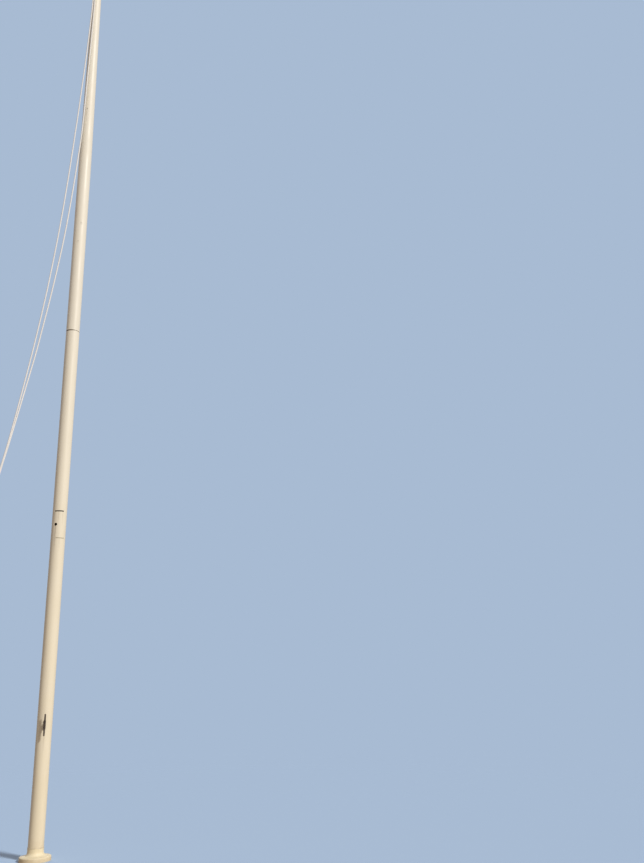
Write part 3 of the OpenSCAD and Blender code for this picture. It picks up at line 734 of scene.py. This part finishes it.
# the falls' routes, from the sheave to the ropes' ends
outerRoute = [outerStart] + [Vector(p) for p in (
    (-0.044, -0.122, 12.100), (-0.044, -0.122, 11.700), (-0.044, -0.122, 11.200), (-0.045, -0.121, 10.800),
    (-0.048, -0.120, 10.400), (-0.058, -0.119, 10.050), (-0.071, -0.118, 9.700), (-0.087, -0.117, 9.350),
    (-0.105, -0.116, 9.000), (-0.123, -0.115, 8.650), (-0.144, -0.114, 8.300), (-0.165, -0.113, 7.950),
    (-0.188, -0.112, 7.600), (-0.217, -0.111, 7.200), (-0.249, -0.110, 6.820), (-0.287, -0.109, 6.430),
    (-0.328, -0.109, 6.050), (-0.374, -0.109, 5.680), (-0.424, -0.109, 5.310), (-0.477, -0.110, 4.950),
    (-0.534, -0.111, 4.580), (-0.596, -0.112, 4.200), (-0.640, -0.112, 3.960), (-0.664, -0.112, 3.830))]
innerRoute = [innerStart] + [Vector(p) for p in (
    (-0.022, -0.062, 12.100), (-0.021, -0.063, 11.700), (-0.021, -0.065, 11.200), (-0.022, -0.067, 10.800),
    (-0.025, -0.069, 10.400), (-0.030, -0.071, 10.000), (-0.038, -0.073, 9.550), (-0.046, -0.075, 9.150),
    (-0.054, -0.076, 8.750), (-0.068, -0.077, 8.300), (-0.090, -0.078, 7.950), (-0.115, -0.079, 7.580),
    (-0.145, -0.080, 7.200), (-0.180, -0.081, 6.820), (-0.226, -0.082, 6.430), (-0.276, -0.082, 6.050),
    (-0.330, -0.083, 5.680), (-0.387, -0.083, 5.310), (-0.451, -0.084, 4.950), (-0.518, -0.085, 4.580),
    (-0.588, -0.086, 4.200), (-0.636, -0.086, 3.960), (-0.672, -0.086, 3.770), (-0.698, -0.086, 3.630))]


def smoothLine(route):
    # Catmull-Rom curve through the route's points
    line = []
    last = len(route) - 1
    for i in range(last):
        a, b, c, d = (route[min(max(i + k, 0), last)] for k in (-1, 0, 1, 2))
        for k in range(routeSteps):
            t = k / routeSteps
            line.append(0.5 * (2 * b + (c - a) * t + (2 * a - 5 * b + 4 * c - d) * t ** 2
                + (3 * b - a - 3 * c + d) * t ** 3))
    line.append(route[last])
    return line


def lineLength(line):
    return sum((b - a).length for a, b in zip(line, line[1:]))


def curveThrough(name, line, widths=None):
    data = bpy.data.curves.new(name, "CURVE")
    data.dimensions = "3D"
    spline = data.splines.new("POLY")
    spline.points.add(len(line) - 1)
    for i, there in enumerate(line):
        spline.points[i].co = (*there, 1.0)
        spline.points[i].radius = widths[i] if widths else 1.0
    return addObject(name, data)


def wave(tree, value, waves=1.0):
    # rises from 0 to 1 and falls again that many times in each unit of the value
    return calc(tree, "ABSOLUTE", calc(tree, "SINE", times(tree, times(tree, value, math.pi), waves)))


def eitherOne(tree, choice, one, two):
    return calc(tree, "ADD", times(tree, one, calc(tree, "SUBTRACT", 1.0, choice)), times(tree, two, choice))


def crossedStrands(tree, turns, runs):
    # the two ways that the strands run, and which of the two lies on top
    ways = [calc(tree, sign, turns, runs) for sign in ("ADD", "SUBTRACT")]
    cell = calc(tree, "ADD", calc(tree, "FLOOR", ways[0]), calc(tree, "FLOOR", ways[1]))
    return ways, calc(tree, "FLOORED_MODULO", cell, 2.0)


def crownHeight(tree, ways, other):
    # each crown is round across its strand and long along it
    waves = [wave(tree, way) for way in ways]
    crowns = [times(tree, calc(tree, "POWER", across, 0.8), calc(tree, "POWER", along, 0.35))
        for across, along in (waves, waves[::-1])]
    return eitherOne(tree, other, *crowns)


def keep(tree, geometry, name, value, kind="FLOAT"):
    # stores a value on the geometry's points, and read gives it back
    return place(tree, "GeometryNodeStoreNamedAttribute",
        {"Geometry": geometry, "Name": name, "Value": value}, data_type=kind, domain="POINT").outputs[0]


def read(tree, name):
    kept = place(tree, "GeometryNodeInputNamedAttribute", {"Name": name}, data_type="FLOAT")
    return kept.outputs["Attribute"]


def finishTree(tree, shape, given, out):
    smooth = place(tree, "GeometryNodeSetShadeSmooth", {"Geometry": shape.outputs[0]})
    realize = place(tree, "GeometryNodeRealizeInstances", {0: smooth.outputs[0]})
    paint = place(tree, "GeometryNodeSetMaterial",
        {"Geometry": realize.outputs[0], "Material": given["Material"]})
    feed(tree, out["Geometry"], paint.outputs[0])


def makeBraidTree():
    # sweeps a circle along the curve, as thick as its radius says, and raises the braid's crowns on it
    tree, given, out = newGroup("braidedRope", {"Geometry": "Geometry", "Radius": "Float", "Sides": "Int",
        "Ring spacing": "Float", "Crowns": "Float", "Crown length": "Float", "Relief": "Float",
        "Material": "Material"}, {"Geometry": "Geometry"}, "GeometryNodeTree")
    rings = place(tree, "GeometryNodeResampleCurve",
        {"Curve": given["Geometry"], "Length": given["Ring spacing"]}, mode="LENGTH")
    circle = place(tree, "GeometryNodeCurvePrimitiveCircle",
        {"Resolution": given["Sides"], "Radius": given["Radius"]}, mode="RADIUS")
    here = place(tree, "GeometryNodeSplineParameter").outputs
    spine = keep(tree, rings.outputs[0], "alongRope", here["Length"])
    rim = keep(tree, circle.outputs[0], "roundRope", here["Factor"])
    width = place(tree, "GeometryNodeInputRadius").outputs[0]
    sweep = place(tree, "GeometryNodeCurveToMesh",
        {"Curve": spine, "Profile Curve": rim, "Scale": width, "Fill Caps": True})
    around = read(tree, "roundRope")
    runs = calc(tree, "DIVIDE", read(tree, "alongRope"), given["Crown length"])
    ways, other = crossedStrands(tree, times(tree, around, given["Crowns"]), runs)
    spin = times(tree, around, math.tau)
    lay = place(tree, "ShaderNodeCombineXYZ",
        {"X": calc(tree, "COSINE", spin), "Y": calc(tree, "SINE", spin), "Z": runs})
    laid = keep(tree, sweep.outputs[0], "ropeLay", lay.outputs[0], "FLOAT_VECTOR")
    lift = times(tree, calc(tree, "SUBTRACT", crownHeight(tree, ways, other), 1.0), given["Relief"])
    normal = place(tree, "GeometryNodeInputNormal").outputs[0]
    shift = place(tree, "ShaderNodeVectorMath", {0: normal, "Scale": lift}, operation="SCALE")
    move = place(tree, "GeometryNodeSetPosition", {"Geometry": laid, "Offset": shift.outputs[0]})
    finishTree(tree, move, given, out)
    return tree


def makeStrands():
    # the braid's strands and yarns, from the direction round the rope and the way along it
    tree, given, out = newGroup("braidStrands", {"Lay": "Vector", "Crowns": "Float", "Yarns": "Float"},
        {"Crown": "Float", "Yarn": "Float"})
    lay = place(tree, "ShaderNodeSeparateXYZ", {0: given["Lay"]}).outputs
    spin = calc(tree, "DIVIDE", calc(tree, "ARCTAN2", lay["Y"], lay["X"]), math.tau)
    ways, other = crossedStrands(tree, times(tree, spin, given["Crowns"]), lay["Z"])
    feed(tree, out["Crown"], crownHeight(tree, ways, other))
    feed(tree, out["Yarn"], eitherOne(tree, other, *[wave(tree, way, given["Yarns"]) for way in ways]))
    return tree


def ropeCover(look):
    # white polyester: yarns along the strands, and painted shade that greys the valleys of the braid
    material, tree, shader, where = newMaterial("ropeCover")
    lay = place(tree, "ShaderNodeAttribute", attribute_name="ropeLay").outputs["Vector"]
    strands = use(tree, makeStrands(), {"Lay": lay, "Crowns": rope["crowns"], "Yarns": look["yarns"]})
    crown, yarn = strands["Crown"], strands["Yarn"]
    fibre = grain(tree, where, 1900.0, 3.0, 0.6)
    soil = ramp(tree, grain(tree, where, 3.5, 4.0, 0.6), 0.42, 0.75)
    # painted shade: the rope greys where the braid dips between its crowns
    color = tint(tree, ramp(tree, crown, 0.45, 0.0), look["white"], look["paintedValleyShade"], look["paintedValleyShadeShare"])
    color = tint(tree, soil, color, look["soil"], look["soilShare"])
    color = tint(tree, ramp(tree, fibre, 0.35, 0.7), color, look["fibre"], look["fibreShare"])
    feed(tree, shader["Base Color"], color)
    strand = times(tree, crown, calc(tree, "ADD", 0.86, times(tree, yarn, 0.10)))
    relief(tree, shader, calc(tree, "ADD", strand, times(tree, fibre, 0.04)), 1.0, look["relief"])
    feed(tree, shader["Roughness"], look["rough"])
    feed(tree, shader["Sheen Weight"], look["sheen"])
    return material


braidTree = makeBraidTree()
ropeFinish = ropeCover(ropeLook)


def braid(name, line, look=rope, widths=None):
    values = {"Radius": look["diameter"] / 2, "Sides": look["sides"], "Ring spacing": look["ringSpacing"],
        "Crowns": look["crowns"], "Crown length": look["crownLength"], "Relief": look["relief"],
        "Material": ropeFinish}
    return runTree(curveThrough(name, line, widths), braidTree, values)


def sheaveTurn():
    # over the sheave, and a little way down into both falls
    line = []
    for i in range(bendSteps + 1):
        turn = math.pi * i / bendSteps
        arm = outward * math.cos(turn) + Vector((0.0, 0.0, math.sin(turn)))
        line.append(pinPlace + sheave["ropeRadius"] * arm)
    low = Vector((0.0, 0.0, turnTail))
    return [line[0] - low] + line + [line[-1] - low]


def endFrame(route):
    # the pieces at a fall's end hang on along its last stretch
    run = route[-1] - route[-2]
    return Matrix.Translation(route[-1]) @ Matrix.Rotation(math.atan2(-run.x, -run.z), 4, "Y")


def makeWhipTree():
    # tight turns of twine, and the rope's core inside them
    tree, given, out = newGroup("whipping", {"Geometry": "Geometry", "Radius": "Float", "Twine": "Float",
        "Length": "Float", "Turns": "Float", "Material": "Material"}, {"Geometry": "Geometry"},
        "GeometryNodeTree")
    middle = calc(tree, "SUBTRACT", given["Radius"], times(tree, given["Twine"], 0.5))
    inside = calc(tree, "SUBTRACT", given["Radius"], times(tree, given["Twine"], 0.8))
    tall = calc(tree, "SUBTRACT", given["Length"], given["Twine"])
    spiral = place(tree, "GeometryNodeCurveSpiral", {"Resolution": 28, "Rotations": given["Turns"],
        "Start Radius": middle, "End Radius": middle, "Height": tall})
    # the twine is a little thicker than the turns' spacing, so they touch
    strand = place(tree, "GeometryNodeCurvePrimitiveCircle",
        {"Resolution": 7, "Radius": times(tree, given["Twine"], 0.52)}, mode="RADIUS")
    turns = place(tree, "GeometryNodeCurveToMesh",
        {"Curve": spiral.outputs[0], "Profile Curve": strand.outputs[0], "Fill Caps": True})
    core = place(tree, "GeometryNodeMeshCylinder", {"Vertices": 28, "Radius": inside, "Depth": tall})
    half = place(tree, "ShaderNodeCombineXYZ", {"Z": times(tree, tall, 0.5)})
    lift = place(tree, "GeometryNodeTransform",
        {"Geometry": core.outputs["Mesh"], "Translation": half.outputs[0]})
    both = place(tree, "GeometryNodeJoinGeometry")
    feed(tree, both.inputs[0], turns.outputs[0])
    feed(tree, both.inputs[0], lift.outputs[0])
    finishTree(tree, both, given, out)
    return tree


twineLook = {
    "dark": (0.560, 0.530, 0.450),
    "pale": (0.760, 0.740, 0.670),
    "soil": (0.330, 0.290, 0.220),
    "soilShare": 0.35,
    "rough": 0.60,
}


def twineFinish(look):
    material, tree, shader, where = newMaterial("waxedTwine")
    lay = grain(tree, where, 900.0, 3.0, 0.6)
    color = tint(tree, ramp(tree, lay, 0.35, 0.65), look["dark"], look["pale"])
    color = tint(tree, ramp(tree, grain(tree, where, 70.0), 0.5, 0.7), color, look["soil"], look["soilShare"])
    feed(tree, shader["Base Color"], color)
    relief(tree, shader, lay, 0.4, 0.0003)
    feed(tree, shader["Roughness"], look["rough"])
    return material


whipTree = makeWhipTree()
twine = twineFinish(twineLook)


def makeWhipping(name, route, look):
    values = {"Radius": look["whipRadius"], "Twine": look["twine"], "Length": look["whipLength"],
        "Turns": look["turns"], "Material": twine}
    # the tree draws its own turns, so the curve that carries it only has to exist
    holder = curveThrough(name, [Vector((0.0, 0.0, 0.0)), Vector((0.0, 0.0, look["whipLength"]))])
    piece = runTree(holder, whipTree, values)
    low = Matrix.Translation((0.0, 0.0, look["twine"] / 2 - look["whipLength"]))
    piece.data.transform(endFrame(route) @ low)
    return piece


def eyeLine(look):
    # a drop-shaped loop: two narrow legs out of the whipping, full and round below
    top = -look["whipLength"]
    middle = Vector((0.0, 0.0, top - look["eyeRadius"] - look["eyeGap"]))
    legs = [(Vector((-out, 0.0, top + up)), width) for out, up, width in look["legs"]]
    loop = []
    for i in range(bendSteps + 1):
        turn = math.radians(look["eyeFrom"] + look["eyeSweep"] * i / bendSteps)
        there = middle - look["eyeRadius"] * Vector((math.cos(turn), 0.0, math.sin(turn)))
        loop.append((there, min(1.0, look["joinWidth"] + look["widen"] * min(i, bendSteps - i))))
    back = [(Vector((-there.x, 0.0, there.z)), width) for there, width in reversed(legs)]
    return legs + loop + back


def makeEye(name, route, look):
    turn = endFrame(route)
    points, widths = zip(*eyeLine(look))
    return braid(name, [turn @ there for there in points], eyeRope, widths)


def makeFall(side, route):
    line = smoothLine(route)
    line.append(route[-1] + (route[-1] - route[-2]).normalized() * ending["tuck"])
    fall = finishPiece(braid("halyard_" + side + "_rope", line), None, "halyard_" + side + "_fall")
    whipping = makeWhipping(side + "_twine_whipping", route, ending)
    finishPiece(whipping, None, side + "_whipping")
    eye = finishPiece(makeEye(side + "_spliced_eye", route, ending), None, side + "_eye")
    print(side, "fall:", round(lineLength(line), 3), "m of rope,", len(fall.data.polygons), "faces")


falls = {
    "outer": {"route": outerRoute, "start": outerStart, "length": 8.42},
    "inner": {"route": innerRoute, "start": innerStart, "length": 8.62},
}
for side, fall in falls.items():
    makeFall(side, fall["route"])
finishPiece(braid("halyard_turn", sheaveTurn(), turnRope), None, "halyard_over_sheave")
print("halyard finished")


# Studio: pale floor and backdrop, a soft key light from the right and a weak one from behind

studio = {
    "floorSize": 60.0,
    "floorSides": 96,
    "floorSeen": (0.459, 0.625, 0.871),  # lit, it matches the backdrop
    "floorBounce": (0.420, 0.360, 0.300),
    "backdrop": (0.392, 0.497, 0.651),
    "fadeFrom": 2.5,  # distance from the pole at which the floor starts to fade into the backdrop
    "fadeTo": 13.0,
    "fillColor": (1.0, 0.85, 0.78),
    "fill": 0.25,
}
# where each light comes from, the share of white that a face turned to it gets, its softness in degrees,
# and whether gloss shows it
lights = {
    "key": {"turn": 34.0, "rise": 36.0, "level": 0.83, "spread": 9.0, "gleam": True,
        "color": (1.0, 0.965, 0.91)},
    "back": {"turn": 184.0, "rise": 20.0, "level": 0.34, "spread": 30.0, "gleam": False,
        "color": (1.0, 0.96, 0.93)},
}


def directLook(tree):
    # 1 where the camera, a reflection or a refraction sees the surface, 0 for the light that it sends on
    rays = place(tree, "ShaderNodeLightPath").outputs
    gloss = calc(tree, "MAXIMUM", rays["Is Glossy Ray"], rays["Is Transmission Ray"])
    return calc(tree, "MAXIMUM", rays["Is Camera Ray"], gloss)


def mixShaders(tree, share, one, two, output):
    mix = place(tree, "ShaderNodeMixShader", {0: share, 1: one.outputs[0], 2: two.outputs[0]})
    feed(tree, tree.nodes[output].inputs["Surface"], mix.outputs[0])


def makeFloor(look):
    plate = bmesh.new()
    bmesh.ops.create_circle(plate, cap_ends=True, segments=look["floorSides"], radius=look["floorSize"])
    floor = meshObject("floor", plate)
    material, tree, shader, where = newMaterial("floor")
    seen = directLook(tree)
    feed(tree, shader["Base Color"], tint(tree, seen, look["floorBounce"], look["floorSeen"]))
    feed(tree, shader["Roughness"], 0.9)
    feed(tree, shader["Specular IOR Level"], 0.0)
    fade = ramp(tree, vector(tree, "LENGTH", where), look["fadeFrom"], look["fadeTo"])
    mixShaders(tree, times(tree, fade, seen), tree.nodes["Principled BSDF"],
        place(tree, "ShaderNodeBsdfTransparent"), "Material Output")
    floor.data.materials.append(material)


def makeWorld(look):
    world = bpy.data.worlds.new("studio")
    bpy.context.scene.world = world
    world.use_nodes = True
    tree = world.node_tree
    fill = tree.nodes["Background"]
    feed(tree, fill.inputs["Color"], look["fillColor"])
    feed(tree, fill.inputs["Strength"], look["fill"])
    backdrop = place(tree, "ShaderNodeBackground", {"Color": look["backdrop"]})
    mixShaders(tree, directLook(tree), fill, backdrop, "World Output")


def makeLight(name, look):
    data = bpy.data.lights.new(name, "SUN")
    data.energy = look["level"] * math.pi
    data.color = look["color"]
    data.angle = math.radians(look["spread"])
    rise = math.radians(look["rise"])
    comes = Vector(facingAt(look["turn"])) * math.cos(rise) + Vector((0.0, 0.0, math.sin(rise)))
    lamp = addObject(name, data)
    lamp.visible_glossy = look["gleam"]
    lamp.matrix_world = comes.to_track_quat("Z", "Y").to_matrix().to_4x4()


makeFloor(studio)
makeWorld(studio)
for name, look in lights.items():
    makeLight(name, look)
bpy.context.scene.view_settings.view_transform = "Standard"
print("studio set")
